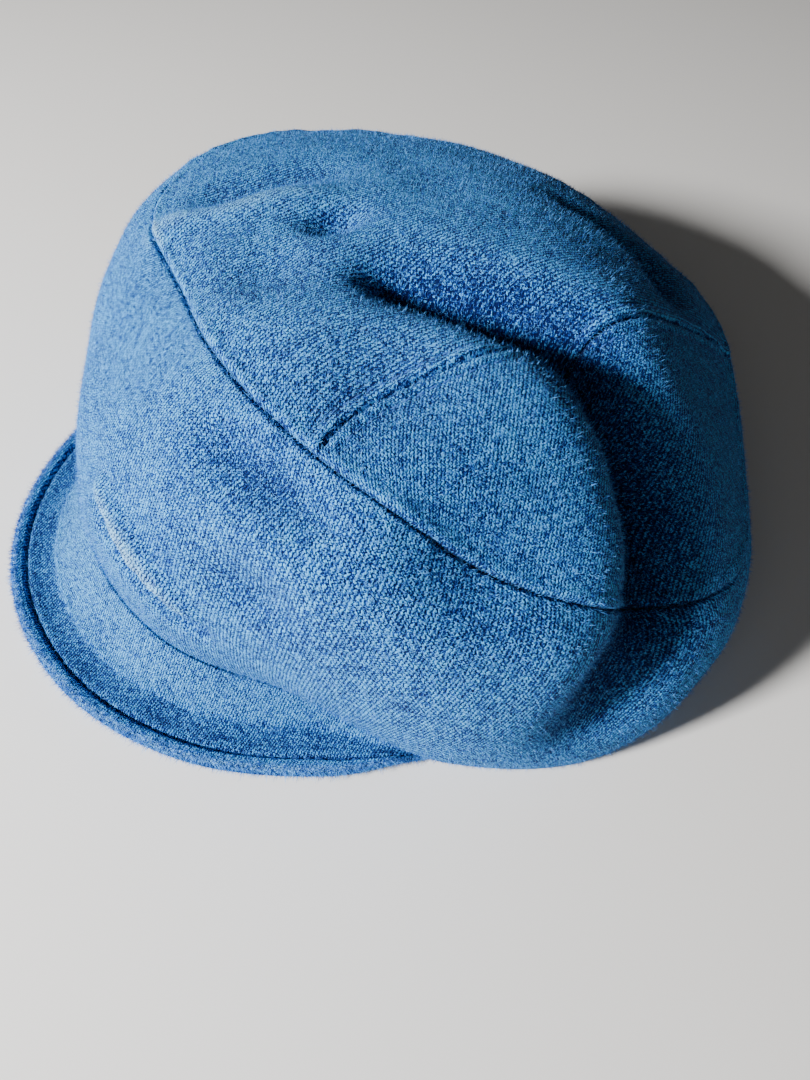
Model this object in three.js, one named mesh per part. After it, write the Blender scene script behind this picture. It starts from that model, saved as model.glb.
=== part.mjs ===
// A soft cloth work cap with a short peak, lying on a table: peak towards -Y, wearer's left +X, mm.
// The crown has slumped towards the wearer's left and back, with one deep fold across its top.
import * as THREE from "three";

// Cloth
const clothThickness = 1.6;
const seamGap = 0.8;
const halfGap = 0.8;

// Where the opening, the top seam and the highest point of the crown lie, before centring
const footCentre = { x: 16, y: 57 };
const crownCentre = { x: 8, y: 93 };
const crownPeak = { x: 53, y: 62, z: 99 };
const sideFullness = 1.15;
const topFullness = 60;

// The hem lifts off the table over the peak
const footLift = 14;
const footLiftAngle = 345;
const footLiftSpan = 80;

// The peak is a slice of a disc
const peakCentre = { x: 0, y: 29 };
const peakGap = 0.5;
const peakThickness = 2.8;
const peakEndWidth = 2;

// Sections of the crown, one every 30 degrees from the front, turning towards the wearer's left.
// Foot and seam reach are from their own centres; slopes are from level, at the hem and at the top seam.
const crownSections = [
  { footReach: 92, footSlope: 84, seamReach: 87, seamHeight: 90.5, seamSlope: 28 },
  { footReach: 79, footSlope: 62, seamReach: 98, seamHeight: 89, seamSlope: 26 },
  { footReach: 94, footSlope: 68, seamReach: 110, seamHeight: 65, seamSlope: 40 },
  { footReach: 110, footSlope: 76, seamReach: 110, seamHeight: 38, seamSlope: 52 },
  { footReach: 104, footSlope: 70, seamReach: 93, seamHeight: 37, seamSlope: 58 },
  { footReach: 95, footSlope: 64, seamReach: 89, seamHeight: 48, seamSlope: 52 },
  { footReach: 94, footSlope: 60, seamReach: 90, seamHeight: 52, seamSlope: 50 },
  { footReach: 97, footSlope: 60, seamReach: 103, seamHeight: 56, seamSlope: 48 },
  { footReach: 99, footSlope: 60, seamReach: 115, seamHeight: 62, seamSlope: 42 },
  { footReach: 100, footSlope: 56, seamReach: 123, seamHeight: 71, seamSlope: 30 },
  { footReach: 101, footSlope: 74, seamReach: 108, seamHeight: 79, seamSlope: 25 },
  { footReach: 101, footSlope: 84, seamReach: 87, seamHeight: 84.5, seamSlope: 30 },
];

// Folds and dents pressed into the cloth along a path of (angle, level) points: level 0 is the hem, 1 the
// top seam and 2 the crown's highest point. Depths are at the path's start, middle and end, below zero for
// a ridge.
const folds = [
  {
    name: "valley",
    path: [
      [300, 1.68], [284, 1.8], [262, 1.87], [170, 1.9], [104, 1.7],
      [90, 1.48], [81, 1.25], [75, 1], [71, 0.7], [70, 0.4],
    ],
    depths: [7, 22, 10],
    width: 13,
  },
  { name: "valley_edge", path: [[304, 1.7], [288, 1.8], [262, 1.9]], depths: [2, 4, 3], width: 5 },
  { name: "small_dent", path: [[292, 1.54], [284, 1.59], [276, 1.61]], depths: [3, 7, 4], width: 6 },
  {
    name: "arc_dent",
    path: [[206, 1.42], [184, 1.36], [166, 1.34], [150, 1.4]],
    depths: [4, 7, 4],
    width: 8,
  },
  { name: "shallow_dent", path: [[334, 1.26], [322, 1.46]], depths: [4, 6, 4], width: 13 },
  { name: "top_fold", path: [[315, 1], [300, 1.36], [274, 1.55]], depths: [-3.5, -3.5, -2], width: 8 },
  { name: "top_hollow", path: [[303, 1.24], [286, 1.36], [266, 1.46]], depths: [4, 4, 3], width: 10 },
  { name: "middle_hollow", path: [[22, 1.15], [22, 1.38], [24, 1.6]], depths: [4, 6, 4], width: 16 },
  { name: "side_hollow", path: [[6, 0.84], [18, 0.87], [30, 0.88]], depths: [3, 4, 3], width: 10 },
  { name: "low_hollow", path: [[15, 0.53], [22, 0.56], [29, 0.58]], depths: [3, 4, 3], width: 10 },
  { name: "seam_dip", path: [[40, 0.93], [47, 0.98], [55, 1.02]], depths: [3, 5, 4], width: 13 },
  { name: "crease", path: [[346, 0.45], [360, 0.4], [373, 0.34]], depths: [-4, -6, -4], width: 3 },
  { name: "crease_hollow", path: [[346, 0.35], [359, 0.3], [373, 0.25]], depths: [5, 8, 5], width: 4.5 },
];

// How far the peak's edge lies from its centre, every 30 degrees from the wearer's right to the left
const peakEdge = [
  { turn: -90, reach: 97 },
  { turn: -60, reach: 98 },
  { turn: -30, reach: 98 },
  { turn: 0, reach: 94.8 },
  { turn: 30, reach: 91.8 },
  { turn: 60, reach: 92.8 },
  { turn: 90, reach: 106 },
];

// Profile of the peak, from its edge inwards: inset from the edge, top and bottom above the table.
// Past the last row both rise to the hem.
const peakProfile = [
  { inset: 0, top: 2.3, bottom: 1.7 },
  { inset: 0.7, top: 4.2, bottom: 0.3 },
  { inset: 2.4, top: 5, bottom: 0 },
  { inset: 4, top: 4.3, bottom: 0 },
  { inset: 5, top: 3.4, bottom: 0.2 },
  { inset: 6.4, top: 4.4, bottom: 0.9 },
  { inset: 11, top: 3.7, bottom: 1.2 },
  { inset: 14, top: 4.2, bottom: 1.6 },
  { inset: 16, top: 5.6, bottom: 2.8 },
];

// Where the seam along the middle of the top meets the top seam, front and back
const middleSeamFront = 24;
const middleSeamBack = 141;

// How finely each piece is made
const stepsPerDegree = 0.22;
const sideSteps = 9;
const topSteps = 11;
const peakSteps = { around: 44, slope: 4 };

const radians = (degrees) => (degrees * Math.PI) / 180;
const mix = (a, b, t) => a + (b - a) * t;
const smooth = (t) => t * t * (3 - 2 * t);
const clamp = (t) => Math.min(1, Math.max(0, t));

// A smooth curve between the middle two of four values
function catmullRom([p0, p1, p2, p3], t) {
  const bend = (2 * p0 - 5 * p1 + 4 * p2 - p3) * t * t + (3 * p1 - p0 - 3 * p2 + p3) * t * t * t;
  return 0.5 * (2 * p1 + (p2 - p0) * t + bend);
}

// A column of the section table at any angle, as a smooth closed curve
function around(column, angle) {
  const count = crownSections.length;
  const place = ((((angle % 360) + 360) % 360) / 360) * count;
  const first = Math.floor(place);
  const t = place - first;
  const near = [-1, 0, 1, 2].map((k) => crownSections[(first + k + count) % count][column]);
  return catmullRom(near, t);
}

function footHeight(angle) {
  const turn = Math.abs(((((angle - footLiftAngle) % 360) + 540) % 360) - 180);
  return footLift * smooth(clamp(1 - turn / footLiftSpan));
}

function hermite(start, end, startPull, endPull, t) {
  const a = 2 * t ** 3 - 3 * t ** 2 + 1;
  const b = t ** 3 - 2 * t ** 2 + t;
  const c = t ** 3 - t ** 2;
  return new THREE.Vector3()
    .addScaledVector(start, a)
    .addScaledVector(startPull, b)
    .addScaledVector(end, 1 - a)
    .addScaledVector(endPull, c);
}

// The crown without folds: level 0 to 1 is the side, 1 to 2 the top
function smoothCrown(angle, level) {
  const turn = radians(angle);
  const out = new THREE.Vector3(Math.sin(turn), -Math.cos(turn), 0);
  const lean = (slope, sign) => {
    const tilt = radians(slope);
    return out.clone().multiplyScalar(sign * Math.cos(tilt)).setZ(Math.sin(tilt));
  };
  const foot = new THREE.Vector3(footCentre.x, footCentre.y, footHeight(angle));
  foot.addScaledVector(out, around("footReach", angle));
  const seam = new THREE.Vector3(crownCentre.x, crownCentre.y, around("seamHeight", angle));
  seam.addScaledVector(out, around("seamReach", angle));
  const atFoot = lean(around("footSlope", angle), 1);
  const atSeam = lean(around("seamSlope", angle), -1);
  if (level <= 1) {
    const pull = seam.distanceTo(foot) * sideFullness;
    return hermite(foot, seam, atFoot.multiplyScalar(pull), atSeam.multiplyScalar(pull), level);
  }
  const peak = new THREE.Vector3(crownPeak.x, crownPeak.y, crownPeak.z);
  const level2 = peak.clone().sub(seam).setZ(0);
  const pull = Math.min(topFullness, peak.distanceTo(seam) * 1.05);
  return hermite(seam, peak, atSeam.multiplyScalar(pull), level2, level - 1);
}

// A value at a share of the way along a list, straight between its entries
function along(list, share) {
  const place = share * (list.length - 1);
  const first = Math.min(Math.floor(place), list.length - 2);
  return mix(list[first], list[first + 1], place - first);
}

// Each fold as points on the smooth crown, with the depth at each
const foldStops = folds.flatMap(({ path, depths, width }) => {
  const pieces = 10 * path.length;
  const angles = path.map(([angle]) => angle);
  const levels = path.map(([, level]) => level);
  const stops = Array.from({ length: pieces + 1 }, (_, i) => ({
    at: smoothCrown(along(angles, i / pieces), along(levels, i / pieces)),
    depth: along(depths, i / pieces),
  }));
  return stops.map(({ at, depth }, i) => {
    const before = stops[Math.max(0, i - 1)].at;
    const after = stops[Math.min(pieces, i + 1)].at;
    const share = (at.distanceTo(before) + at.distanceTo(after)) / (2 * width * Math.sqrt(Math.PI));
    return { at, width, depth: depth * share };
  });
});

// How far the folds press the cloth in at a point: the sum of all their stops
function foldDepth(point) {
  let total = 0;
  for (const { at, width, depth } of foldStops) {
    total += depth * Math.exp(-at.distanceToSquared(point) / width ** 2);
  }
  return total;
}

// The crown with its folds pressed in, square to the smooth surface
function crown(angle, level) {
  const point = smoothCrown(angle, level);
  const near = Math.min(level, 1.93);
  const turned = smoothCrown(angle + 1, near).sub(smoothCrown(angle - 1, near));
  const raised = smoothCrown(angle, near + 0.01).sub(smoothCrown(angle, near - 0.01));
  const outward = turned.cross(raised).normalize();
  outward.lerp(new THREE.Vector3(0, 0, 1), smooth(clamp((level - 1.5) / 0.42))).normalize();
  const pressed = point.addScaledVector(outward, -foldDepth(point));
  pressed.z = Math.max(pressed.z, footHeight(angle));
  return pressed;
}

// The way the folded crown faces, so that pieces that meet at a seam share it
function crownFacing(angle, level) {
  const low = Math.max(0, level - 0.012);
  const turned = crown(angle + 0.7, level).sub(crown(angle - 0.7, level));
  return turned.cross(crown(angle, low + 0.024).sub(crown(angle, low))).normalize();
}

// A closed wall: an outer grid of points, and an inner one a cloth thickness behind it.
// A ring closes on itself; a tip ends in one point; a level edge keeps the wall's first row flat.
function wall(rows, facings, { ring = false, tip = null, levelEdge = false }) {
  const across = rows[0].length;
  const outer = rows.flat().concat(tip ? [tip] : []);
  const faces = [];
  const at = (i, j) => i * across + (j % across);
  const columns = ring ? across : across - 1;
  for (let i = 0; i + 1 < rows.length; i++)
    for (let j = 0; j < columns; j++)
      faces.push([at(i, j), at(i, j + 1), at(i + 1, j + 1)], [at(i, j), at(i + 1, j + 1), at(i + 1, j)]);
  const last = rows.length - 1;
  if (tip) for (let j = 0; j < columns; j++) faces.push([at(last, j), at(last, j + 1), outer.length - 1]);

  const skin = new THREE.BufferGeometry().setFromPoints(outer);
  skin.setIndex(faces.flat());
  skin.computeVertexNormals();
  const skinFacing = skin.getAttribute("normal");
  const given = facings.flat();
  const inner = outer.map((point, k) => {
    const facing = given[k] ?? new THREE.Vector3().fromBufferAttribute(skinFacing, k);
    return point.clone().addScaledVector(facing, -clothThickness);
  });
  if (levelEdge) for (let j = 0; j < across; j++) inner[j].z = outer[j].z;

  const count = outer.length;
  const closed = faces.concat(faces.map(([a, b, c]) => [a + count, c + count, b + count]));
  const strip = (a, b) => closed.push([b, a, a + count], [b, a + count, b + count]);
  for (let j = 0; j < columns; j++) {
    strip(at(0, j), at(0, j + 1));
    if (!tip) strip(at(last, j + 1), at(last, j));
  }
  if (!ring) {
    for (let i = 0; i < last; i++) {
      strip(at(i + 1, 0), at(i, 0));
      strip(at(i, across - 1), at(i + 1, across - 1));
    }
    if (tip) {
      strip(count - 1, at(last, 0));
      strip(at(last, across - 1), count - 1);
    }
  }
  const made = new THREE.BufferGeometry().setFromPoints(outer.concat(inner));
  made.setIndex(closed.flat());
  return made;
}

// The level on the side or the top that lies half a seam gap from the top seam
function seamLevel(angle, side) {
  const step = 0.02 * side;
  return 1 + (step * seamGap) / (2 * smoothCrown(angle, 1).distanceTo(smoothCrown(angle, 1 + step)));
}

// Even angles from one end of the middle seam to the other, shared by the top and the side below it
function anglesBetween(from, to) {
  const count = Math.round((to - from) * stepsPerDegree);
  return Array.from({ length: count + 1 }, (_, j) => mix(from, to, j / count));
}

function sidePanel() {
  const left = anglesBetween(middleSeamFront, middleSeamBack);
  const right = anglesBetween(middleSeamBack, middleSeamFront + 360);
  const angles = left.slice(0, -1).concat(right.slice(0, -1));
  const rows = [];
  const facings = [];
  for (let i = 0; i <= sideSteps; i++) {
    rows.push(angles.map((angle) => crown(angle, (i / sideSteps) * seamLevel(angle, -1))));
    facings.push(angles.map((angle) => crownFacing(angle, i / sideSteps)));
  }
  return wall(rows, facings, { ring: true, levelEdge: true });
}

function topHalf(from, to) {
  const angles = anglesBetween(from, to);
  const rows = [];
  const facings = [];
  for (let i = 0; i < topSteps; i++) {
    const level = 1 + i / topSteps;
    rows.push(angles.map((angle) => crown(angle, mix(seamLevel(angle, 1), 2, i / topSteps))));
    facings.push(angles.map((angle) => (level < 1.85 ? crownFacing(angle, level) : null)));
  }
  const half = wall(rows, facings, { tip: crown(0, 2) });
  const middle = smoothCrown(middleSeamBack, 1).sub(smoothCrown(middleSeamFront, 1));
  const side = to > 180 ? -1 : 1;
  const away = new THREE.Vector3(middle.y, -middle.x, 0).setLength((side * halfGap) / 2);
  return half.translate(away.x, away.y, 0);
}

// The height of the peak's inner edge where it meets the hem
function peakHeight(angle) {
  return Math.max(footHeight(angle) + 2, peakProfile[peakProfile.length - 1].top);
}

// How far from the peak's own centre its edge lies in a direction
function peakReach(turn) {
  const last = peakEdge.length - 1;
  const place = clamp(turn / Math.PI + 0.5) * last;
  const first = Math.min(Math.floor(place), last - 1);
  const row = (k) => peakEdge[Math.min(Math.max(first + k, 0), last)].reach;
  return catmullRom([row(-1), row(0), row(1), row(2)], place - first);
}

// How far from the peak's own centre the side lies in a direction, with the gap between them
function hemReach(turn) {
  let [near, far] = [10, 140];
  for (let k = 0; k < 40; k++) {
    const reach = (near + far) / 2;
    const x = peakCentre.x + reach * Math.sin(turn) - footCentre.x;
    const y = peakCentre.y - reach * Math.cos(turn) - footCentre.y;
    const angle = (Math.atan2(x, -y) * 180) / Math.PI;
    const lean = (peakHeight(angle) - footHeight(angle)) / Math.tan(radians(around("footSlope", angle)));
    if (Math.hypot(x, y) < around("footReach", angle) + lean + peakGap) near = reach;
    else far = reach;
  }
  return near;
}

// The direction on one side in which the peak has narrowed to its end
function peakEnd(sign) {
  let turn = 0;
  while (hemReach(turn) < peakReach(turn) - peakEndWidth) turn += sign * radians(0.25);
  return turn;
}

function peak() {
  const count = peakSteps.around;
  const [start, end] = [peakEnd(-1), peakEnd(1)];
  const tops = [];
  const bottoms = [];
  for (let j = 0; j <= count; j++) {
    const turn = mix(start, end, j / count);
    const edge = peakReach(turn);
    const depth = edge - hemReach(turn);
    const band = peakProfile[peakProfile.length - 1];
    const squeeze = Math.min(1, (depth * 0.8) / band.inset);
    const place = (inset, z) => {
      const x = peakCentre.x + (edge - inset) * Math.sin(turn);
      const y = peakCentre.y - (edge - inset) * Math.cos(turn);
      return new THREE.Vector3(x, y, z);
    };
    const inside = place(depth, 0);
    const angle = (Math.atan2(inside.x - footCentre.x, footCentre.y - inside.y) * 180) / Math.PI;
    const hemTop = peakHeight(angle);
    const top = peakProfile.map((row) => place(row.inset * squeeze, row.top));
    const bottom = peakProfile.map((row) => place(row.inset * squeeze, row.bottom));
    for (let k = 1; k <= peakSteps.slope; k++) {
      const t = k / peakSteps.slope;
      const z = mix(band.top, hemTop, t);
      top.push(place(mix(band.inset * squeeze, depth, t), z));
      const under = z - mix(band.top - band.bottom, peakThickness, t);
      bottom.push(place(mix(band.inset * squeeze, depth, t), under));
    }
    tops.push(top);
    bottoms.push(bottom);
  }
  const across = tops[0].length;
  const total = tops.length * across;
  const at = (j, k, under) => (under ? total : 0) + j * across + k;
  const faces = [];
  for (let j = 0; j < count; j++) {
    for (let k = 0; k + 1 < across; k++) {
      faces.push([at(j, k), at(j + 1, k), at(j + 1, k + 1)], [at(j, k), at(j + 1, k + 1), at(j, k + 1)]);
      faces.push([at(j, k, 1), at(j + 1, k + 1, 1), at(j + 1, k, 1)]);
      faces.push([at(j, k, 1), at(j, k + 1, 1), at(j + 1, k + 1, 1)]);
    }
    const inner = across - 1;
    faces.push([at(j, 0), at(j + 1, 0, 1), at(j + 1, 0)], [at(j, 0), at(j, 0, 1), at(j + 1, 0, 1)]);
    faces.push([at(j, inner), at(j + 1, inner), at(j + 1, inner, 1)]);
    faces.push([at(j, inner), at(j + 1, inner, 1), at(j, inner, 1)]);
  }
  for (let k = 0; k + 1 < across; k++) {
    faces.push([at(0, k), at(0, k + 1), at(0, k + 1, 1)], [at(0, k), at(0, k + 1, 1), at(0, k, 1)]);
    faces.push([at(count, k), at(count, k + 1, 1), at(count, k + 1)]);
    faces.push([at(count, k), at(count, k, 1), at(count, k + 1, 1)]);
  }
  const made = new THREE.BufferGeometry().setFromPoints(tops.flat().concat(bottoms.flat()));
  made.setIndex(faces.flat());
  return made;
}

const cap = new THREE.Group();
cap.name = "cap";
const pieces = {
  crown_top_left: topHalf(middleSeamFront, middleSeamBack),
  crown_top_right: topHalf(middleSeamBack, middleSeamFront + 360),
  side_panel: sidePanel(),
  peak: peak(),
};
// The bottom centre of the whole cap's box is the origin
const box = new THREE.Box3();
for (const geometry of Object.values(pieces)) {
  geometry.computeBoundingBox();
  box.union(geometry.boundingBox);
}
const middle = box.getCenter(new THREE.Vector3());
for (const [name, geometry] of Object.entries(pieces)) {
  geometry.translate(-middle.x, -middle.y, -box.min.z);
  const cloth = new THREE.MeshStandardMaterial({ color: 0x3f64a3, roughness: 0.95, metalness: 0 });
  cloth.name = "blue_twill";
  const mesh = new THREE.Mesh(geometry, cloth);
  mesh.name = name;
  cap.add(mesh);
}

export default cap;
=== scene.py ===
import math

import bmesh
import bpy
import numpy as np
from mathutils import Matrix, Vector


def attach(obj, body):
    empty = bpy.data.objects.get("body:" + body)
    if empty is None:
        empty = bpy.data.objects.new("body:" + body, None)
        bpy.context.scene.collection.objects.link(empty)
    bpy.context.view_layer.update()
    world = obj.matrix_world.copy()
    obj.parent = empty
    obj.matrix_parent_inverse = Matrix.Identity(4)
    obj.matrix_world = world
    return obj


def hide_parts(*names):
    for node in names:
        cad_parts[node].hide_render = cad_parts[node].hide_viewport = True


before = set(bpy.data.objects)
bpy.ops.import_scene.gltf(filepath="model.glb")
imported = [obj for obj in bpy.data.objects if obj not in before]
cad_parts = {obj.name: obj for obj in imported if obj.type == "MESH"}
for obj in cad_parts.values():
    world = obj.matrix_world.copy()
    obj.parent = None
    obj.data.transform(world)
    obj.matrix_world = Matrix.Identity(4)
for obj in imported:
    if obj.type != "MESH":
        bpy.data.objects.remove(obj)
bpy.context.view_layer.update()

mm = 0.001
up = np.array([0.0, 0.0, 1.0])


# camera, at the photograph's angle above the cap's front left
view = {
    "place": (151.366, -122.950, 225.0),
    "right": (0.64528, 0.76365, 0.02100),
    "up": (-0.61831, 0.50592, 0.60145),
    "lens": 27.03,
    "sensorWidth": 36.0,
    "clipStart": 0.01,
}


def addCamera():
    data = bpy.data.cameras.new("camera")
    data.lens = view["lens"]
    data.sensor_width = view["sensorWidth"]
    data.clip_start = view["clipStart"]
    camera = bpy.data.objects.new("camera", data)
    right, upward = Vector(view["right"]), Vector(view["up"])
    back = right.cross(upward)
    turn = Matrix((right, upward, back)).transposed().to_4x4()
    camera.matrix_world = Matrix.Translation(Vector(view["place"]) * mm) @ turn
    bpy.context.collection.objects.link(camera)
    bpy.context.scene.camera = camera


addCamera()
print("camera set")


# the crown: sections every 30 degrees from the front, turning towards the wearer's left, in mm
# level 0 is the hem, 1 the top seam and 2 the highest point
crown = {
    "middle": (2.0579, 61.4894),  # moves the box's centre to the origin
    "inside": (16.0, 70.0, 20.0),  # a point in the hollow, which cloth faces away from
    "footCentre": (16.0, 57.0),
    "crownCentre": (8.0, 93.0),
    "highest": (53.0, 62.0, 99.0),
    "sideFullness": 1.15,
    "topPull": 1.05,
    "topFullness": 60.0,
    "footLift": 14.0,
    "footLiftAngle": 345.0,
    "footLiftSpan": 80.0,
    "seamFront": 24.0,
    "seamBack": 141.0,
    "slopeLevels": (0.011, 1.93),  # slopes are read between these levels
    "slopeSteps": (1, 0.01),  # over steps of this angle and level
    "uprightFrom": 1.5,  # from this level the facing turns straight up
    "uprightSpan": 0.42,
    # foot reach, foot slope, seam reach, seam height, seam slope
    "sections": [
        (92, 84, 87, 90.5, 28),
        (79, 62, 98, 89, 26),
        (94, 68, 110, 65, 40),
        (110, 76, 110, 38, 52),
        (104, 70, 93, 37, 58),
        (95, 64, 89, 48, 52),
        (94, 60, 90, 52, 50),
        (97, 60, 103, 56, 48),
        (99, 60, 115, 62, 42),
        (100, 56, 123, 71, 30),
        (101, 74, 108, 79, 25),
        (101, 84, 87, 84.5, 30),
    ],
    # path of (angle, level), depths at its start, middle and end (below zero for a ridge), width
    "folds": [
        (  # deep valley
            [(300, 1.68), (284, 1.8), (262, 1.87), (170, 1.9), (104, 1.7)]
            + [(90, 1.48), (81, 1.25), (75, 1), (71, 0.7), (70, 0.4)],
            (7, 22, 10),
            13,
        ),
        (  # slit along the valley's floor
            [(300, 1.7), (284, 1.8), (262, 1.88), (170, 1.9), (104, 1.7), (90, 1.48), (81, 1.25)],
            (6, 12, 6),
            5.5,
        ),
        ([(292, 1.54), (284, 1.59), (276, 1.61)], (4, 9, 5), 6.5),  # small dent
        ([(206, 1.42), (184, 1.36), (166, 1.34), (150, 1.4)], (4, 7, 4), 8),  # arc dent
        ([(334, 1.26), (322, 1.46)], (4, 6, 4), 13),  # shallow dent
        ([(315, 1), (300, 1.36), (274, 1.55)], (-3.5, -3.5, -2), 8),  # top fold
        ([(303, 1.24), (286, 1.36), (266, 1.46)], (4, 4, 3), 10),  # top hollow
        ([(22, 1.15), (22, 1.38), (24, 1.6)], (4, 6, 4), 16),  # middle hollow
        ([(6, 0.84), (18, 0.87), (30, 0.88)], (4, 6.5, 4), 8),  # side hollow
        ([(15, 0.53), (22, 0.56), (29, 0.58)], (3, 5, 3), 8.5),  # low hollow
        ([(40, 0.93), (47, 0.98), (55, 1.02)], (3, 5, 4), 13),  # seam dip
        ([(346, 0.45), (360, 0.4), (373, 0.34)], (-3, -5, -3), 3),  # crease
        ([(346, 0.35), (359, 0.3), (373, 0.25)], (5, 8, 5), 4.5),  # crease hollow
    ],
    "stopsPerPoint": 10,
    "hollowShadeAndWear": -0.17,  # painted shade and unworn cloth: darker for each mm of a hollow's depth
    # painted highlight and wear: paler for each mm of a crest's height
    "crestHighlightAndWear": -0.22,
    "paintedLightAndWearLimits": (-2.0, 1.3),
}


def smooth(t):
    t = np.clip(t, 0, 1)
    return t * t * (3 - 2 * t)


def bell(distance, width):
    return np.exp(-((distance / width) ** 2))


def catmullRom(near, t):
    p0, p1, p2, p3 = near
    bend = (2 * p0 - 5 * p1 + 4 * p2 - p3) * t**2 + (3 * p1 - p0 - 3 * p2 + p3) * t**3
    return 0.5 * (2 * p1 + (p2 - p0) * t + bend)


def sectionColumn(column, angle):
    values = np.array([row[column] for row in crown["sections"]], float)
    count = len(values)
    place = (angle % 360) / 360 * count
    first = np.floor(place).astype(int)
    return catmullRom([values[(first + k) % count] for k in (-1, 0, 1, 2)], place - first)


def footHeight(angle):
    turn = np.abs((angle - crown["footLiftAngle"]) % 360 + 180) % 360 - 180
    return crown["footLift"] * smooth(1 - np.abs(turn) / crown["footLiftSpan"])


def hermite(start, end, startPull, endPull, t):
    t = t[..., None]
    a = 2 * t**3 - 3 * t**2 + 1
    return a * start + (t**3 - 2 * t**2 + t) * startPull + (1 - a) * end + (t**3 - t**2) * endPull


# the crown before any fold is pressed into it
def smoothCrown(angle, level):
    angle, level = np.broadcast_arrays(np.asarray(angle, float), np.asarray(level, float))
    turn = np.radians(angle)
    out = np.stack([np.sin(turn), -np.cos(turn), np.zeros_like(turn)], -1)

    def ring(centre, reach, height):
        point = out * reach[..., None] + np.array([*centre, 0.0])
        point[..., 2] = height
        return point

    def lean(slope, sign):
        tilt = np.radians(slope)[..., None]
        return sign * np.cos(tilt) * out + np.sin(tilt) * up

    foot = ring(crown["footCentre"], sectionColumn(0, angle), footHeight(angle))
    seam = ring(crown["crownCentre"], sectionColumn(2, angle), sectionColumn(3, angle))
    atFoot = lean(sectionColumn(1, angle), 1)
    atSeam = lean(sectionColumn(4, angle), -1)
    pull = np.linalg.norm(seam - foot, axis=-1, keepdims=True) * crown["sideFullness"]
    side = hermite(foot, seam, atFoot * pull, atSeam * pull, np.clip(level, 0, 1))
    highest = np.array(crown["highest"])
    flat = (highest - seam) * np.array([1.0, 1.0, 0.0])
    pull = np.linalg.norm(highest - seam, axis=-1, keepdims=True) * crown["topPull"]
    pull = np.minimum(pull, crown["topFullness"])
    highest = np.broadcast_to(highest, seam.shape)
    top = hermite(seam, highest, atSeam * pull, flat, np.clip(level - 1, 0, 1))
    return np.where((level <= 1)[..., None], side, top)


# a fold as stops along its path, each pressing a round dent
def foldStops(path, depths, width):
    share = np.linspace(0, 1, crown["stopsPerPoint"] * len(path) + 1)
    knots = np.linspace(0, 1, len(path))
    angles = np.interp(share, knots, [p[0] for p in path])
    levels = np.interp(share, knots, [p[1] for p in path])
    stops = smoothCrown(angles, levels)
    steps = np.concatenate([[0], np.linalg.norm(np.diff(stops, axis=0), axis=-1), [0]])
    weight = (steps[:-1] + steps[1:]) / (2 * width * math.sqrt(math.pi))
    return stops, weight * np.interp(share, np.linspace(0, 1, len(depths)), depths), width


pressedFolds = [foldStops(*fold) for fold in crown["folds"]]


def foldDepth(points):
    total = np.zeros(points.shape[:-1])
    for stops, depths, width in pressedFolds:
        for stop, depth in zip(stops, depths):
            total += depth * np.exp(-np.sum((points - stop) ** 2, -1) / width**2)
    return total


# hollows are darker, with painted shade and unworn cloth, and crests paler, with painted highlight and wear
def foldPaintedLightAndWear(base):
    depth = foldDepth(base)
    return np.clip(np.where(depth > 0, crown["hollowShadeAndWear"], crown["crestHighlightAndWear"]) * depth, *crown["paintedLightAndWearLimits"])


def crownFacing(angle, level):
    near = np.clip(level, *crown["slopeLevels"])
    turn, climb = crown["slopeSteps"]
    turned = smoothCrown(angle + turn, near) - smoothCrown(angle - turn, near)
    raised = smoothCrown(angle, near + climb) - smoothCrown(angle, near - climb)
    facing = np.cross(turned, raised)
    facing /= np.linalg.norm(facing, axis=-1, keepdims=True)
    share = smooth((level - crown["uprightFrom"]) / crown["uprightSpan"])[..., None]
    facing = facing * (1 - share) + up * share
    return facing / np.linalg.norm(facing, axis=-1, keepdims=True)


rumples = {"waves": 14, "stretch": (0.6, 1.5), "phase": (0, 6.3)}


# soft rumples, the same at any resolution
def rumple(points, size, seed):
    waves = np.random.default_rng(seed)
    total = np.zeros(points.shape[:-1])
    for _ in range(rumples["waves"]):
        direction = waves.normal(size=3)
        direction /= np.linalg.norm(direction)
        stretch = waves.uniform(*rumples["stretch"])
        phase = waves.uniform(*rumples["phase"])
        total += np.sin(points @ direction * (2 * np.pi / size) * stretch + phase)
    return total / rumples["waves"] ** 0.5


# the crown's cloth and seams, in mm
cloth = {
    "thickness": 1.6,
    "rumple": 0.35,
    "rumpleSize": 38.0,
    "pucker": 0.22,  # beside the top seam
    "puckerSize": 9.0,
    "puckerReach": 9.0,
    "middlePucker": 0.2,  # beside the middle seam
    "middlePuckerSize": 7.0,
    "middleStart": 1.5,  # the middle seam's relief fades in from here
    "middleFade": 3.0,
    "stitchInset": 4.2,
    "stitchWidth": 0.7,
    "stitchDip": 0.3,
    # painted shade: darker along the stitch dip beside the middle seam
    "stitchShade": 0.5,
    "footFade": 12.0,  # rumples fade out over this height above the hem
}
# crest, its distance from the seam, its width, groove, its width
seamRelief = {
    "top": (0.6, 2.2, 1.4, 1.6, 0.55),
    "middle": (0.45, 2.1, 1.4, 1.1, 0.6),
    "side": (-0.35, 0.0, 4.0, 1.6, 0.6),
}
# the seams' colour, in the same columns: crests paler with wear, grooves darker with painted shade
seamShadeAndWear = {
    "top": (0.4, 2.2, 1.4, 1.0, 0.6),
    "middle": (0.5, 2.0, 1.2, 1.0, 0.7),
    "side": (0.25, 3.0, 2.0, 0.9, 0.9),
}


def besideSeam(distance, crest, crestAt, crestWidth, groove, grooveWidth):
    return crest * bell(distance - crestAt, crestWidth) - groove * bell(distance, grooveWidth)


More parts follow.
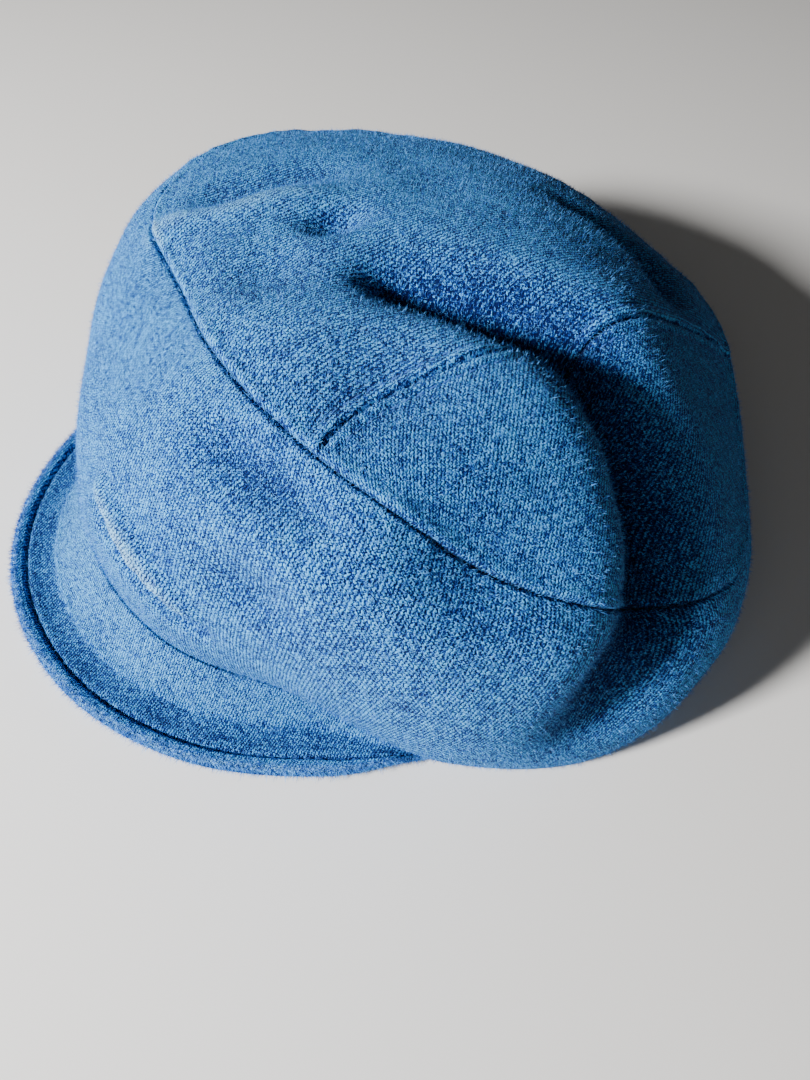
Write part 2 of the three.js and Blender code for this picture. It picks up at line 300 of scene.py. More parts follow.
# how the panels' grids are spaced: mm from the top seam, then shares of the rest
nearSeam = np.array([0, 0.3, 0.6, 0.95, 1.35, 1.8, 2.35, 3.0, 3.8, 4.8, 6.0])
topShare = np.linspace(0, 1, 72)[1:]
sideShare = np.concatenate([np.linspace(0, 0.95, 52)[1:], [0.962, 0.974, 0.984, 0.992, 1.0]])
panels = {
    "besideMiddle": np.array([0, 0.12, 0.26, 0.42, 0.62, 0.86, 1.15, 1.5, 1.95, 2.5, 3.2]),  # degrees
    "middleSpan": 4.2,
    "topSpacing": 0.92,
    "sideColumns": 421,
    "meridianSteps": 121,
    "poleRows": 6,  # rows round the highest point that face straight up
    "uvLevel": 1.4,  # the ring on which the top's cloth coordinates are true to length
    "stitchColumns": 45,
    "stitchStop": 8,  # rows short of the highest point
}


# one panel of the crown from grids of angles and levels
def panelGrid(angles, levels):
    angle, level = np.broadcast_arrays(angles, levels)
    base = smoothCrown(angle, level)
    facing = crownFacing(angle, level)
    points = base - facing * foldDepth(base)[..., None]
    points[..., 2] = np.maximum(points[..., 2], footHeight(angle))
    return base, points, facing


def gridFacing(points):
    across = np.gradient(points, axis=0)
    along = np.gradient(points, axis=1)
    facing = np.cross(across, along)
    return facing / (np.linalg.norm(facing, axis=-1, keepdims=True) + 1e-9)


# the grid's own facing, on the side that the smooth crown faces
def pressedFacing(points, facing):
    pressed = gridFacing(points)
    return pressed * np.sign(np.sum(pressed * facing, -1, keepdims=True))


# levels along each meridian at given distances from the top seam
def levelsFromSeam(angles, side, near, share):
    levels = np.linspace(1, 0 if side < 0 else 2, panels["meridianSteps"])
    lines = smoothCrown(angles[:, None], levels[None, :])
    made = []
    for line in lengthAlong(lines):
        distances = np.concatenate([near, near[-1] + (line[-1] - near[-1]) * share])
        made.append(np.interp(distances, line, levels))
    return np.array(made)


def lengthAlong(points):
    steps = np.linalg.norm(np.diff(points, axis=1), axis=-1)
    return np.concatenate([np.zeros((len(points), 1)), np.cumsum(steps, 1)], 1)


# a grid of points in mm as a piece, with cloth coordinates and a colour shift of painted light and wear: pale
# above zero for worn crests and painted highlights, dark below for painted shade and unworn cloth
def makePiece(name, points, uv, paintedLightAndWear, weld=1e-7, capped=False):
    columns, rows = points.shape[:2]
    bm = bmesh.new()
    bmesh.ops.create_grid(bm, x_segments=columns - 1, y_segments=rows - 1, size=0.5)
    bm.verts.index_update()
    uvLayer = bm.loops.layers.uv.new("cloth")
    paintedLightAndWearLayer = bm.verts.layers.float.new("paintedLightAndWear")
    order = np.array([vert.co[:2] for vert in bm.verts])
    i = np.rint((order[:, 0] + 0.5) * (columns - 1)).astype(int)
    j = np.rint((order[:, 1] + 0.5) * (rows - 1)).astype(int)
    placed = (points[i, j] - np.array([*crown["middle"], 0.0])) * mm
    spots = uv[i, j]
    for vert, place, lightAndWear in zip(bm.verts, placed, paintedLightAndWear[i, j]):
        vert.co = place
        vert[paintedLightAndWearLayer] = lightAndWear
    for face in bm.faces:
        face.smooth = True
        for loop in face.loops:
            loop[uvLayer].uv = spots[loop.vert.index]
    bmesh.ops.remove_doubles(bm, verts=bm.verts, dist=weld)
    bmesh.ops.dissolve_degenerate(bm, edges=bm.edges, dist=1e-8)
    if capped:
        rim = [edge for edge in bm.edges if edge.is_boundary]
        bmesh.ops.holes_fill(bm, edges=rim, sides=0)
    bmesh.ops.recalc_face_normals(bm, faces=bm.faces)
    mesh = bpy.data.meshes.new(name)
    bm.to_mesh(mesh)
    bm.free()
    piece = bpy.data.objects.new(name, mesh)
    bpy.context.collection.objects.link(piece)
    return piece


def thicken(piece, thickness):
    wall = piece.modifiers.new("wall", "SOLIDIFY")
    wall.thickness = thickness * mm
    wall.offset = -1
    wall.use_rim = True


# columns gather close beside the middle seam
def seamColumns(start, end):
    beside, span = panels["besideMiddle"], panels["middleSpan"]
    count = max(2, int((end - start - 2 * span) / panels["topSpacing"]))
    inner = np.linspace(start + span, end - span, count)
    return np.concatenate([start + beside, inner, end - beside[::-1]])


# cloth coordinates that spread out from the highest point
def topCoordinates(base, fromSeam, levels, fromEnd):
    reach = fromSeam[:, -1:] - fromSeam
    ring = np.argmin(np.abs(levels[0] - panels["uvLevel"]))
    steps = np.linalg.norm(np.diff(base[:, ring], axis=0), axis=-1)
    rounds = np.sqrt(np.clip(steps**2 - np.diff(reach[:, ring]) ** 2, 0, None)) / reach[1:, ring]
    turn = np.concatenate([[0], np.cumsum(rounds)])
    turn = (turn - (turn[-1] if fromEnd else 0))[:, None]
    return np.stack([reach * np.sin(turn), -reach * np.cos(turn)], -1)


# a stitch line beside the middle seam, from distances to the seam and the points there
def stitchLine(toSeam, near):
    inset = cloth["stitchInset"]
    rows = range(nearSeam.size, near.shape[1] - panels["stitchStop"])
    kept = [k for k in rows if toSeam[-1, k] > inset]
    return np.array([[np.interp(inset, toSeam[:, k], near[:, k, axis]) for axis in range(3)] for k in kept])


def addTopHalf(name, start, end, seed):
    angles = seamColumns(start, end)
    levels = levelsFromSeam(angles, 1, nearSeam, topShare)
    base, points, facing = panelGrid(angles[:, None], levels)
    fromSeam = lengthAlong(base)
    toStart = np.linalg.norm(base - smoothCrown(np.full_like(levels, start), levels), axis=-1)
    toEnd = np.linalg.norm(base - smoothCrown(np.full_like(levels, end), levels), axis=-1)
    toMiddle = np.minimum(toStart, toEnd)
    inside = smooth((fromSeam - cloth["middleStart"]) / cloth["middleFade"])
    stitched = bell(toMiddle - cloth["stitchInset"], cloth["stitchWidth"])
    lift = besideSeam(fromSeam, *seamRelief["top"])
    lift += inside * (besideSeam(toMiddle, *seamRelief["middle"]) - cloth["stitchDip"] * stitched)
    lift += cloth["rumple"] * rumple(base, cloth["rumpleSize"], seed)
    pucker = rumple(base, cloth["puckerSize"], seed + 1) * bell(fromSeam, cloth["puckerReach"])
    lift += cloth["pucker"] * pucker
    pucker = rumple(base, cloth["middlePuckerSize"], seed + 2) * bell(toMiddle, cloth["middlePuckerSize"])
    lift += cloth["middlePucker"] * pucker * inside
    facing = pressedFacing(points, facing)
    facing[:, -panels["poleRows"] :] = up
    points = points + facing * lift[..., None]
    points[:, -1] = points[:, -1].mean(0)
    # colour shift: painted shade in the seam groove, the stitch dip and the hollows; crests paler with wear
    # and painted highlight
    paintedLightAndWear = besideSeam(fromSeam, *seamShadeAndWear["top"]) + foldPaintedLightAndWear(base)
    paintedLightAndWear += inside * (besideSeam(toMiddle, *seamShadeAndWear["middle"]) - cloth["stitchShade"] * stitched)
    uv = topCoordinates(base, fromSeam, levels, start > crown["seamFront"])
    piece = makePiece(name, points, uv, paintedLightAndWear)
    thicken(piece, cloth["thickness"])
    count = panels["stitchColumns"]
    lines = [
        stitchLine(toStart[:count], points[:count]),
        stitchLine(toEnd[: -count - 1 : -1], points[: -count - 1 : -1]),
    ]
    return {"piece": piece, "points": points, "facing": facing, "lines": lines}


def addSidePanel(name, seed):
    angles = np.linspace(0, 360, panels["sideColumns"])
    levels = levelsFromSeam(angles, -1, nearSeam, sideShare)
    base, points, facing = panelGrid(angles[:, None], levels)
    fromSeam = lengthAlong(base)
    fromFoot = fromSeam[:, -1:] - fromSeam
    lift = besideSeam(fromSeam, *seamRelief["side"])
    soft = rumple(base, cloth["rumpleSize"], seed) * smooth(fromFoot / cloth["footFade"])
    lift += cloth["rumple"] * soft
    pucker = rumple(base, cloth["puckerSize"], seed + 1) * bell(fromSeam, cloth["puckerReach"])
    lift += cloth["pucker"] * pucker
    facing = pressedFacing(points, facing)
    facing[0] = facing[-1] = (facing[0] + facing[-1]) / 2
    points = points + facing * lift[..., None]
    points[..., 2] = np.maximum(points[..., 2], footHeight(angles)[:, None])
    points[-1] = points[0]
    # colour shift: painted shade in the seam groove and the hollows; crests paler with wear and painted
    # highlight
    paintedLightAndWear = besideSeam(fromSeam, *seamShadeAndWear["side"]) + foldPaintedLightAndWear(base)
    half = smoothCrown(angles, np.full_like(angles, 0.5))
    around = lengthAlong(half[None])[0]
    uv = np.stack(np.broadcast_arrays(around[:, None], fromFoot), -1)
    piece = makePiece(name, points[:, ::-1], uv[:, ::-1], paintedLightAndWear[:, ::-1])
    thicken(piece, cloth["thickness"])
    return {"piece": piece, "points": points, "facing": facing, "lines": []}


topLeft = addTopHalf("crownTopLeft", crown["seamFront"], crown["seamBack"], 11)
topRight = addTopHalf("crownTopRight", crown["seamBack"], crown["seamFront"] + 360, 21)
sidePanel = addSidePanel("sidePanel", 31)
print("crown panels made")


# the peak: a slice of a disc, with a rolled edge, a stitched groove and a flat band inside it, in mm
peak = {
    "centre": (0.0, 29.0),
    "edge": [97, 98, 98, 94.8, 91.8, 92.8, 106],  # reach every 30 degrees
    "gap": 0.5,
    "endWidth": 2.0,
    "tuck": 5.0,  # how far the thin ends run in under the hem
    "tuckDepth": 20.0,  # where the peak is shallower than this
    "endThin": 0.3,  # height left at the ends
    "thinDepth": 9.0,
    "thickness": 2.8,
    "insets": [
        0, 0.12, 0.35, 0.7, 1.1, 1.6, 2.1, 2.5, 3, 3.5, 3.9, 4.2, 4.5, 4.7, 4.85, 5, 5.15, 5.3, 5.5, 5.8, 6.2,
        6.8, 7.6, 8.6, 9.8, 11, 12, 13, 13.6, 14, 14.4, 14.8, 15.2, 15.6, 16,
    ],
    "bandShare": 0.8,  # most of the depth that bead and band may take
    "beadRadius": 2.5,
    "beadEnd": 4.2,
    "beadFlat": 0.4,  # power that fills out the bead's inner side
    "bandHeight": 4.6,
    "dish": (0.9, 11, 4.0),  # depth, inset, width
    "groove": (1.5, 5, 0.6),
    "innerRise": (1.2, 13.8, 1.6),  # height, inset where it starts, width
    "slopeRows": 24,
    "slopeCurve": 0.2,
    "lowest": 5.8,
    "overHem": 2.0,
    "columns": 260,
    "stitchEnds": 6,  # columns at either end without stitches
    "hemSearch": (10.0, 140.0),
    "hemHalvings": 40,
    "endSearch": (0, 120, 0.25),  # degrees from the front, and their step
    "rumple": 0.3,
    "rumpleSize": 26.0,
    "rumpleFade": (5, 6, 5),  # inset where rumples start, their fade there and at the hem
    "beadPucker": 0.12,
    "beadPuckerSize": 5.0,
    "beadPuckerAt": 2.4,
    # painted light and wear: amount, inset, width
    "lightAndWearBells": [(0.8, 1.2, 1.6), (-1.1, 5, 0.8), (-0.7, 8, 0.6)],  # bead paler with wear and painted highlight; groove and second stitch line darker with painted shade
    # painted light: paler on the inner slope that faces the key light; amount, inset, width
    "innerPaintedLight": (0.45, 13.5, 2.0),
    "bandPaintedShade": (-0.6, 4.5, 13.0, 2.0),  # painted shade, darker on the dished band: amount, start, end, fade
}


def peakHeight(angle):
    return np.maximum(footHeight(angle) + peak["overHem"], peak["lowest"])


# how far the hem lies from the peak's centre, by halving
def hemReach(turn):
    near, far = (np.full_like(turn, reach) for reach in peak["hemSearch"])
    for _ in range(peak["hemHalvings"]):
        reach = (near + far) / 2
        x = peak["centre"][0] + reach * np.sin(turn) - crown["footCentre"][0]
        y = peak["centre"][1] - reach * np.cos(turn) - crown["footCentre"][1]
        angle = np.degrees(np.arctan2(x, -y))
        lean = (peakHeight(angle) - footHeight(angle)) / np.tan(np.radians(sectionColumn(1, angle)))
        inside = np.hypot(x, y) < sectionColumn(0, angle) + lean + peak["gap"]
        near, far = np.where(inside, reach, near), np.where(inside, far, reach)
    return near


def peakReach(turn):
    values = np.array(peak["edge"], float)
    last = len(values) - 1
    place = np.clip(turn / np.pi + 0.5, 0, 1) * last
    first = np.minimum(np.floor(place).astype(int), last - 1)
    return catmullRom([values[np.clip(first + k, 0, last)] for k in (-1, 0, 1, 2)], place - first)


def peakEnd(sign):
    turns = sign * np.radians(np.arange(*peak["endSearch"]))
    return turns[np.argmax(hemReach(turns) >= peakReach(turns) - peak["endWidth"])]


# heights of the outer part's top and bottom: a round bead, a stitched groove, a dished band, an inner layer
def peakProfile(insets):
    radius = peak["beadRadius"]
    dish, dishAt, dishWidth = peak["dish"]
    rise, riseAt, riseWidth = peak["innerRise"]
    groove, grooveAt, grooveWidth = peak["groove"]
    arc = np.sqrt(np.clip(1 - (insets / radius - 1) ** 2, 0, 1))
    outer = insets < radius
    bead = radius + radius * np.where(outer, arc, arc ** peak["beadFlat"])
    band = peak["bandHeight"] - dish * bell(insets - dishAt, dishWidth)
    band = band + rise * smooth((insets - riseAt) / riseWidth)
    band = band - groove * bell(insets - grooveAt, grooveWidth)
    top = np.where(insets < peak["beadEnd"], bead, band)
    inner = np.interp(insets, (radius, grooveAt, insets[-1]), (0, 0, top[-1] - peak["thickness"]))
    return top, np.where(outer, radius - radius * arc, inner)


# the peak's colour shift: bead paler with wear and painted highlight, painted shade in the grooves and on the
# band, painted light on the inner slope
def peakLightAndWear(distance):
    total = sum(amount * bell(distance - at, width) for amount, at, width in peak["lightAndWearBells"])
    amount, at, width = peak["innerPaintedLight"]
    total = total + amount * smooth((distance - at) / width)
    amount, start, end, fade = peak["bandPaintedShade"]
    return total + amount * smooth((distance - start) / fade) * (1 - smooth((distance - end) / fade))


def addPeak(name):
    turns = np.linspace(peakEnd(-1), peakEnd(1), peak["columns"])
    edge = peakReach(turns)
    depth = edge - hemReach(turns)
    edge = edge - peak["tuck"] * (1 - smooth(depth / peak["tuckDepth"]))
    x = peak["centre"][0] + (edge - depth) * np.sin(turns) - crown["footCentre"][0]
    y = peak["centre"][1] - (edge - depth) * np.cos(turns) - crown["footCentre"][1]
    hemTop = peakHeight(np.degrees(np.arctan2(x, -y)))
    depth = depth[:, None]
    insets = np.array(peak["insets"])
    band = insets[-1]
    squeezed = band * np.minimum(1, depth * peak["bandShare"] / band)
    roundTop, roundBottom = peakProfile(insets)
    slope = np.linspace(0, 1, peak["slopeRows"])[1:]
    climb = slope * (1 - peak["slopeCurve"]) + smooth(slope) * peak["slopeCurve"]
    rise = (hemTop - roundTop[-1])[:, None]
    full = np.ones((len(turns), 1))
    thin = peak["endThin"] + (1 - peak["endThin"]) * smooth(depth / peak["thinDepth"])
    reach = np.concatenate([insets / band * squeezed, squeezed + (depth - squeezed) * slope], 1)
    top = np.concatenate([roundTop * full, roundTop[-1] + rise * climb], 1)
    bottom = np.concatenate([roundBottom * full, top[:, insets.size :] - peak["thickness"]], 1)
    distance = np.concatenate([insets * full, band + (depth - band) * slope], 1)

    def place(height):
        radius = edge[:, None] - reach
        x = peak["centre"][0] + radius * np.sin(turns)[:, None]
        return np.stack([x, peak["centre"][1] - radius * np.cos(turns)[:, None], height], -1)

    over, under = place(top * thin), place(bottom * thin)
    first, fadeIn, fadeOut = peak["rumpleFade"]
    soft = peak["rumple"] * rumple(over, peak["rumpleSize"], 5)
    soft = soft * smooth((reach - first) / fadeIn) * smooth((depth - reach) / fadeOut)
    pucker = peak["beadPucker"] * rumple(over, peak["beadPuckerSize"], 6)
    soft += pucker * bell(distance - peak["beadPuckerAt"], peak["beadPuckerAt"])
    over = over + up * soft[..., None]
    # painted light and shade, with wear, across the peak
    paintedLightAndWear = peakLightAndWear(distance)
    loop = np.concatenate([over[:, ::-1], under], 1)
    lightAndWear = np.concatenate([paintedLightAndWear[:, ::-1], np.zeros_like(paintedLightAndWear)], 1)
    piece = makePiece(name, loop, loop[..., :2], lightAndWear, weld=1e-6, capped=True)
    groove = int(np.argmin(np.abs(insets - peak["groove"][1])))
    facing = gridFacing(over)
    facing *= np.sign(facing[..., 2:] + 1e-9)
    ends = peak["stitchEnds"]
    return {"piece": piece, "points": over, "facing": facing, "lines": [over[ends:-ends, groove]]}


peakPiece = addPeak("peakCloth")
print("peak made")


# shader maths on sockets
class Wire:
    def __init__(self, tree, socket):
        self.tree, self.socket = tree, socket

    # any node: its type, its settings, then its sockets by name, or by number as i0, i1
    def node(self, kind, settings=None, **inputs):
        made = self.tree.nodes.new(kind)
        for key, value in (settings or {}).items():
            setattr(made, key, value)
        for key, value in inputs.items():
            numbered = key[0] == "i" and key[1:].isdigit()
            target = made.inputs[int(key[1:]) if numbered else key.replace("_", " ")]
            if isinstance(value, Wire):
                self.tree.links.new(value.socket, target)
            else:
                target.default_value = value
        return made

    def wire(self, made, output=0):
        return Wire(self.tree, made.outputs[output])

    def math(self, operation, other=0.0, swap=False):
        a, b = (other, self) if swap else (self, other)
        return self.wire(self.node("ShaderNodeMath", {"operation": operation}, i0=a, i1=b))

    def __add__(self, other):
        return self.math("ADD", other)

    def __radd__(self, other):
        return self.math("ADD", other)

    def __sub__(self, other):
        return self.math("SUBTRACT", other)

    def __rsub__(self, other):
        return self.math("SUBTRACT", other, True)

    def __mul__(self, other):
        return self.math("MULTIPLY", other)

    def __rmul__(self, other):
        return self.math("MULTIPLY", other)

    def __truediv__(self, other):
        return self.math("DIVIDE", other)

    def __pow__(self, other):
        return self.math("POWER", other)

    def sine(self):
        return self.math("SINE")

    # 0 below low, 1 above high, and a smooth step between
    def clamp(self, low, high):
        settings = {"clamp": True, "interpolation_type": "SMOOTHSTEP"}
        return self.wire(self.node("ShaderNodeMapRange", settings, Value=self, From_Min=low, From_Max=high))

    def colourMix(self, dark, light):
        made = self.node("ShaderNodeMix", {"data_type": "RGBA", "clamp_factor": True}, i0=self)
        for socket, colour in ((made.inputs[6], dark), (made.inputs[7], light)):
            if isinstance(colour, Wire):
                self.tree.links.new(colour.socket, socket)
            else:
                socket.default_value = (*colour, 1)
        return self.wire(made, 2)


# colours, lengths as parts of the pitch, and how strongly each thing tells in the tone and the bump
twill = {
    "dark": (0.001, 0.006, 0.06),
    "middle": (0.002, 0.058, 0.47),
    "light": (0.10, 0.52, 1.0),
    # pale: mixed in on worn crests and where highlights are painted
    "pale": (0.52, 0.86, 1.0),
    "zigzag": 0.92,
    "zigzagSwing": 0.17,
    "pick": 0.46,
    "slowScale": 0.13,  # slow and quick wandering of the ribs
    "quickScale": 0.8,
    "slowSwing": (2.2, 3.0),  # mm across the ribs and along them
    "quickSwing": (0.8, 1.0),
    "grainScale": 2.8,
    "speckScale": 6.5,
    "cloudScale": 0.05,
    "tone": {"rib": 1.4, "shade": 1.0, "grain": 2.3, "speck": 2.5, "cloud": 0.45, "lightAndWear": 0.36},
    "toneBase": -0.58,
    "darkRange": (-0.05, 0.6),  # tones over which each colour gives way to the next
    "lightRange": (0.36, 1.0),
    # the painted light and wear shift turns the cloth pale over this range
    "lightAndWearRange": (0.3, 1.7),
    "paleRange": (-0.2, 0.8),
    "bump": {"rib": 1.0, "shade": 0.35, "grain": 1.0, "speck": 0.7},
    "bumpStrength": 0.85,
    "bumpDistance": 0.00042,
}


# heathered twill on a piece's own cloth coordinates, in mm
def twillMaterial(name, angle, pitch, wander):
    material = bpy.data.materials.new(name)
    material.use_nodes = True
    tree = material.node_tree
    principled = tree.nodes["Principled BSDF"]
    start = Wire(tree, None)
    coords = start.wire(start.node("ShaderNodeUVMap", {"uv_map": "cloth"}))
    # per-vertex colour shift: painted shade in hollows and grooves below zero, wear and painted highlights
    # above
    lightAndWear = start.wire(start.node("ShaderNodeAttribute", {"attribute_name": "paintedLightAndWear"}), 2)
    split = start.node("ShaderNodeSeparateXYZ", Vector=coords)
    u, v = start.wire(split, 0), start.wire(split, 1)

    def noise(scale, detail, output=0):
        settings = {"noise_dimensions": "2D"}
        made = start.node("ShaderNodeTexNoise", settings, Vector=coords, Scale=scale, Detail=detail)
        return start.wire(made, output)

    slow = start.node("ShaderNodeSeparateXYZ", Vector=noise(twill["slowScale"], 2.0, 1))
    quick = start.node("ShaderNodeSeparateXYZ", Vector=noise(twill["quickScale"], 1.0, 1))
    turn = math.radians(angle)
    across = u * math.cos(turn) + v * math.sin(turn)
    along = v * math.cos(turn) - u * math.sin(turn)
    for swing, made in ((twill["slowSwing"], slow), (twill["quickSwing"], quick)):
        across = across + (start.wire(made, 0) - 0.5) * (swing[0] * wander)
        along = along + (start.wire(made, 1) - 0.5) * swing[1]
    zigzag = (along * (2 * math.pi / (twill["zigzag"] * pitch))).sine() * (twill["zigzagSwing"] * pitch)
    # each rib is a row of short yarn floats, every one with its own shade
    rib = (across + zigzag) / pitch
    ribIndex = rib.math("FLOOR")
    ribPart = rib - ribIndex
    pickIndex = (along / (twill["pick"] * pitch) + ribIndex * 0.5 + ribPart * 0.5).math("FLOOR")
    cell = start.wire(start.node("ShaderNodeCombineXYZ", X=ribIndex, Y=pickIndex))
    shade = start.wire(start.node("ShaderNodeTexWhiteNoise", {"noise_dimensions": "2D"}, Vector=cell)) - 0.5
    ribRound = 1.0 - (ribPart * 2.0 - 1.0).math("ABSOLUTE") ** 2.0
    grain = noise(twill["grainScale"] / pitch, 1.0) - 0.5
    speck = noise(twill["speckScale"] / pitch, 1.0) - 0.5
    cloud = noise(twill["cloudScale"], 3.0) - 0.5
    part = twill["tone"]
    tone = ribRound * part["rib"] + shade * part["shade"] + grain * part["grain"] + speck * part["speck"]
    # the colour shift darkens the tone with painted shade and raises it with painted highlight and wear
    tone = tone + cloud * part["cloud"] + lightAndWear * part["lightAndWear"] + twill["toneBase"]
    colour = tone.clamp(*twill["darkRange"]).colourMix(twill["dark"], twill["middle"])
    colour = tone.clamp(*twill["lightRange"]).colourMix(colour, twill["light"])
    # crests and lit parts turn pale: wear and painted highlight
    paled = lightAndWear.clamp(*twill["lightAndWearRange"]) * tone.clamp(*twill["paleRange"])
    colour = paled.colourMix(colour, twill["pale"])
    tree.links.new(colour.socket, principled.inputs["Base Color"])
    part = twill["bump"]
    height = ribRound * part["rib"] + shade * part["shade"] + grain * part["grain"] + speck * part["speck"]
    depth = {"Strength": twill["bumpStrength"], "Distance": twill["bumpDistance"]}
    bump = start.node("ShaderNodeBump", Height=height, **depth)
    tree.links.new(bump.outputs[0], principled.inputs["Normal"])
    principled.inputs["Roughness"].default_value = 0.95
    principled.inputs["Specular IOR Level"].default_value = 0.1
    principled.inputs["Sheen Weight"].default_value = 0.05
    principled.inputs["Sheen Roughness"].default_value = 0.5
    principled.inputs["Sheen Tint"].default_value = (0.6, 0.8, 1.0, 1)
    return material


# brushed fibres standing off the cloth, as joined slivers, in mm
fuzz = {
    "density": 2.2,  # fibres to a square mm
    "length": (0.7, 2.6),
    "width": 0.11,
    "rise": (0.15, 0.9),
    "flatten": 0.6,
    "lowest": 0.02,  # none goes through the floor
    "dark": (0.008, 0.06, 0.34),
    "light": (0.14, 0.46, 0.95),
    "rimRows": 9,
    "rimMiddle": 2.0,  # height that the rim's fibres spread out from
    "rimSpread": 12.0,
    "rimDensity": 14.0,
    "rimCoarse": 1.4,
}


def fuzzMaterial():
    material = bpy.data.materials.new("blueFuzz")
    material.use_nodes = True
    principled = material.node_tree.nodes["Principled BSDF"]
    start = Wire(material.node_tree, None)
    coords = start.wire(start.node("ShaderNodeTexCoord"), 3)
    noise = start.wire(start.node("ShaderNodeTexNoise", {}, Vector=coords, Scale=900.0, Detail=1.0))
    colour = noise.clamp(0.3, 0.7).colourMix(fuzz["dark"], fuzz["light"])
    material.node_tree.links.new(colour.socket, principled.inputs["Base Color"])
    principled.inputs["Roughness"].default_value = 0.95
    principled.inputs["Specular IOR Level"].default_value = 0.1
    return material


def plainMaterial(name, colour):
    material = bpy.data.materials.new(name)
    material.use_nodes = True
    principled = material.node_tree.nodes["Principled BSDF"]
    principled.inputs["Base Color"].default_value = (*colour, 1)
    principled.inputs["Roughness"].default_value = 0.8
    return material


# sewn thread: short spindles along a line, each sunk into the cloth, in mm
thread = {
    "colour": (0.02, 0.10, 0.36),
    "length": 2.5,
    "gap": 0.9,
    "radius": 0.24,
    "start": 0.5,
    "dive": 0.18,  # how far the ends go down
    "sides": 6,
    "peakLift": 0.1,
    "crownLift": 0.05,
    # station along the stitch, girth there
    "shape": [(-0.5, 0.15), (-0.42, 0.75), (-0.2, 1.0), (0.2, 1.0), (0.42, 0.75), (0.5, 0.15)],
}

# angle of the ribs, their pitch in mm, how far they wander
leftCloth = twillMaterial("topLeftTwill", 55.0, 0.95, 0.4)
rightCloth = twillMaterial("topRightTwill", 7.0, 1.2, 0.4)
sideCloth = twillMaterial("sideTwill", -6.0, 1.1, 0.3)
peakCloth = twillMaterial("peakTwill", 22.0, 0.85, 0.3)
fuzzCloth = fuzzMaterial()
threadCloth = plainMaterial("blueThread", thread["colour"])
print("materials made")


def joinedPiece(name, verts, faces, material):
    mesh = bpy.data.meshes.new(name)
    mesh.from_pydata(((verts - np.array([*crown["middle"], 0.0])) * mm).tolist(), [], faces.tolist())
    piece = bpy.data.objects.new(name, mesh)
    bpy.context.collection.objects.link(piece)
    piece.data.materials.append(material)
    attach(piece, "root")
    return piece


def addFuzz(name, points, facing, seed, density, coarse=1.0):
    rng = np.random.default_rng(seed)
    a, b, c = points[:-1, :-1], points[1:, :-1], points[:-1, 1:]
    area = np.linalg.norm(np.cross(b - a, c - a), axis=-1)
    count = int(area.sum() * density)
    cells = rng.choice(area.size, count, p=(area / area.sum()).ravel())
    i, j = np.unravel_index(cells, area.shape)
    s, t = rng.random((2, count, 1))
    low = points[i, j] * (1 - s) + points[i + 1, j] * s
    root = low * (1 - t) + (points[i, j + 1] * (1 - s) + points[i + 1, j + 1] * s) * t
    normal = facing[i, j]
    lean = rng.normal(size=(count, 3))
    lean -= np.sum(lean * normal, -1, keepdims=True) * normal
    lean /= np.linalg.norm(lean, axis=-1, keepdims=True) + 1e-9
    length = coarse * rng.uniform(*fuzz["length"], (count, 1)) * rng.random((count, 1)) ** 0.5
    rise = rng.uniform(*fuzz["rise"], (count, 1))
    side = np.cross(normal, lean) * (fuzz["width"] * coarse / 2)
    tip = root + (normal * rise + lean * (1 - rise * fuzz["flatten"])) * length
    verts = np.stack([root - side, root + side, tip], 1).reshape(-1, 3)
    verts[:, 2] = np.maximum(verts[:, 2], fuzz["lowest"])
    return joinedPiece(name, verts, np.arange(count * 3).reshape(-1, 3), fuzzCloth)


# four corners of every face of a tube of rings
def tubeFaces(rings, sides):
    faces = []
    for k in range(rings - 1):
        for m in range(sides):
            n = (m + 1) % sides
            low, high = k * sides, (k + 1) * sides
            faces.append([low + m, low + n, high + n, high + m])
    return np.array(faces)


def addStitches(name, lines, lift):
    sides = thread["sides"]
    ring = np.linspace(0, 2 * np.pi, sides, endpoint=False)[None, :, None]
    stations, girth = np.array(thread["shape"]).T
    girth = girth * thread["radius"]
    tubeQuads = tubeFaces(len(stations), sides)
    verts, faces = [], []
    for line in lines:
        run = lengthAlong(line[None])[0]
        for begin in np.arange(thread["start"], run[-1] - thread["length"], thread["length"] + thread["gap"]):
            spots = begin + thread["length"] * (stations + 0.5)
            spine = np.stack([np.interp(spots, run, line[:, axis]) for axis in range(3)], -1)
            spine[:, 2] += lift - thread["dive"] * np.abs(stations * 2) ** 3
            along = spine[-1] - spine[0]
            along /= np.linalg.norm(along)
            side = np.cross(along, up)
            side /= np.linalg.norm(side)
            over = np.cross(side, along)
            tube = spine[:, None] + girth[:, None, None] * (np.cos(ring) * side + np.sin(ring) * over)
            faces.append(tubeQuads + len(verts) * len(stations) * sides)
            verts.append(tube.reshape(-1, 3))
    piece = joinedPiece(name, np.concatenate(verts), np.concatenate(faces), threadCloth)
    for face in piece.data.polygons:
        face.use_smooth = True
    return piece


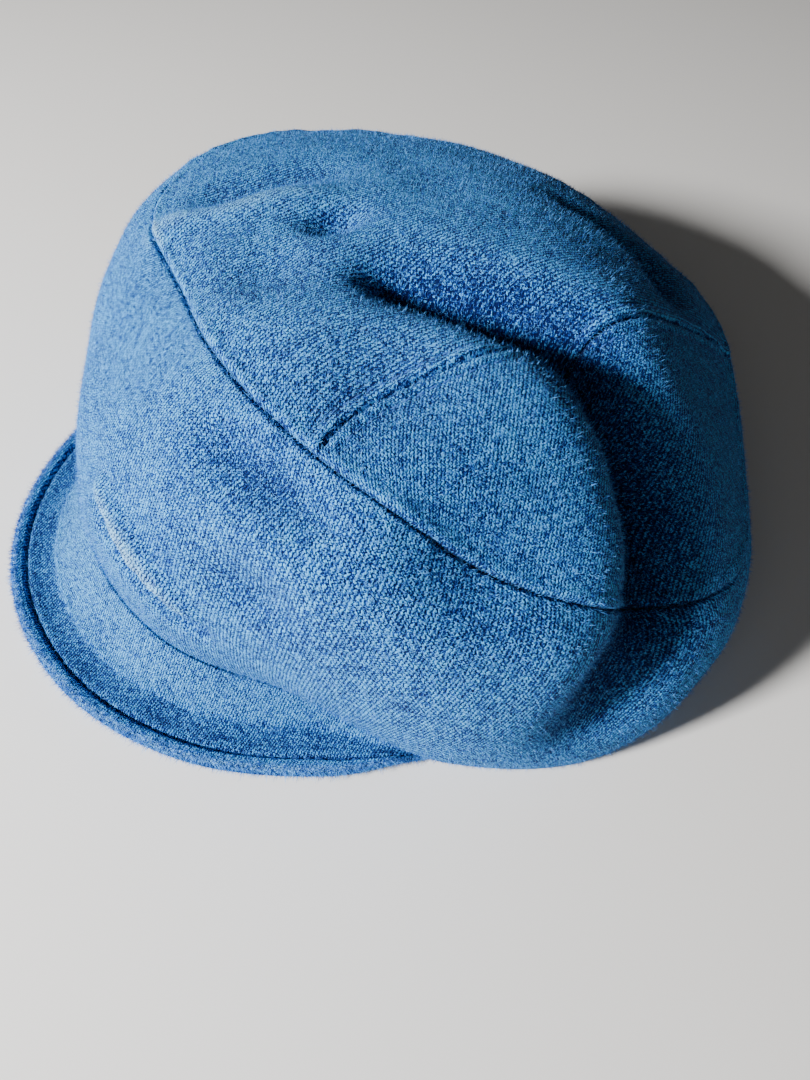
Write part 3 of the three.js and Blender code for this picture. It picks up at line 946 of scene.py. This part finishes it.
for made, node, material, seed in (
    (topLeft, "crown_top_left", leftCloth, 101),
    (topRight, "crown_top_right", rightCloth, 102),
    (sidePanel, "side_panel", sideCloth, 103),
    (peakPiece, "peak", peakCloth, 104),
):
    piece, points = made["piece"], made["points"]
    piece.data.materials.append(material)
    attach(piece, "root")
    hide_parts(node)
    away = points - np.array(crown["inside"])
    outward = made["facing"] * np.sign(np.sum(made["facing"] * away, -1, keepdims=True))
    addFuzz(piece.name + "Fuzz", points, outward, seed, fuzz["density"])
rim = peakPiece["points"][:, : fuzz["rimRows"]]
rimFacing = rim - np.array([*peak["centre"], fuzz["rimMiddle"]])
rimFacing[..., 2] = (rim[..., 2] - fuzz["rimMiddle"]) * fuzz["rimSpread"]
rimFacing /= np.linalg.norm(rimFacing, axis=-1, keepdims=True)
addFuzz("peakRimFuzz", rim, rimFacing, 105, fuzz["rimDensity"], fuzz["rimCoarse"])
addStitches("peakStitches", peakPiece["lines"], thread["peakLift"])
addStitches("crownStitches", topLeft["lines"] + topRight["lines"], thread["crownLift"])
print("fuzz and stitches added")


# plain floor and soft light, in metres
studio = {
    "floor": (0.80, 0.78, 0.75),
    "floorSize": 3.0,
    "aim": (0, 0, 0.05),
    "key": {"from": (-0.22, -0.98, 0.57), "size": 0.18, "power": 42.0},
    "fill": {"from": (0.5, -0.9, 0.7), "size": 0.9, "power": 1.2},
    "world": 0.045,
}


def addStudio():
    bm = bmesh.new()
    bmesh.ops.create_grid(bm, x_segments=1, y_segments=1, size=studio["floorSize"])
    mesh = bpy.data.meshes.new("floor")
    bm.to_mesh(mesh)
    bm.free()
    floor = bpy.data.objects.new("floor", mesh)
    bpy.context.collection.objects.link(floor)
    floor.data.materials.append(plainMaterial("floorPaint", studio["floor"]))
    for name in ("key", "fill"):
        light = studio[name]
        data = bpy.data.lights.new(name, "AREA")
        data.size = light["size"]
        data.energy = light["power"]
        lamp = bpy.data.objects.new(name, data)
        lamp.location = Vector(light["from"])
        lamp.rotation_euler = (Vector(studio["aim"]) - lamp.location).to_track_quat("-Z", "Y").to_euler()
        bpy.context.collection.objects.link(lamp)
    world = bpy.data.worlds.new("world")
    world.use_nodes = True
    world.node_tree.nodes["Background"].inputs[0].default_value = (1, 1, 1, 1)
    world.node_tree.nodes["Background"].inputs[1].default_value = studio["world"]
    bpy.context.scene.world = world


addStudio()
print("studio set")
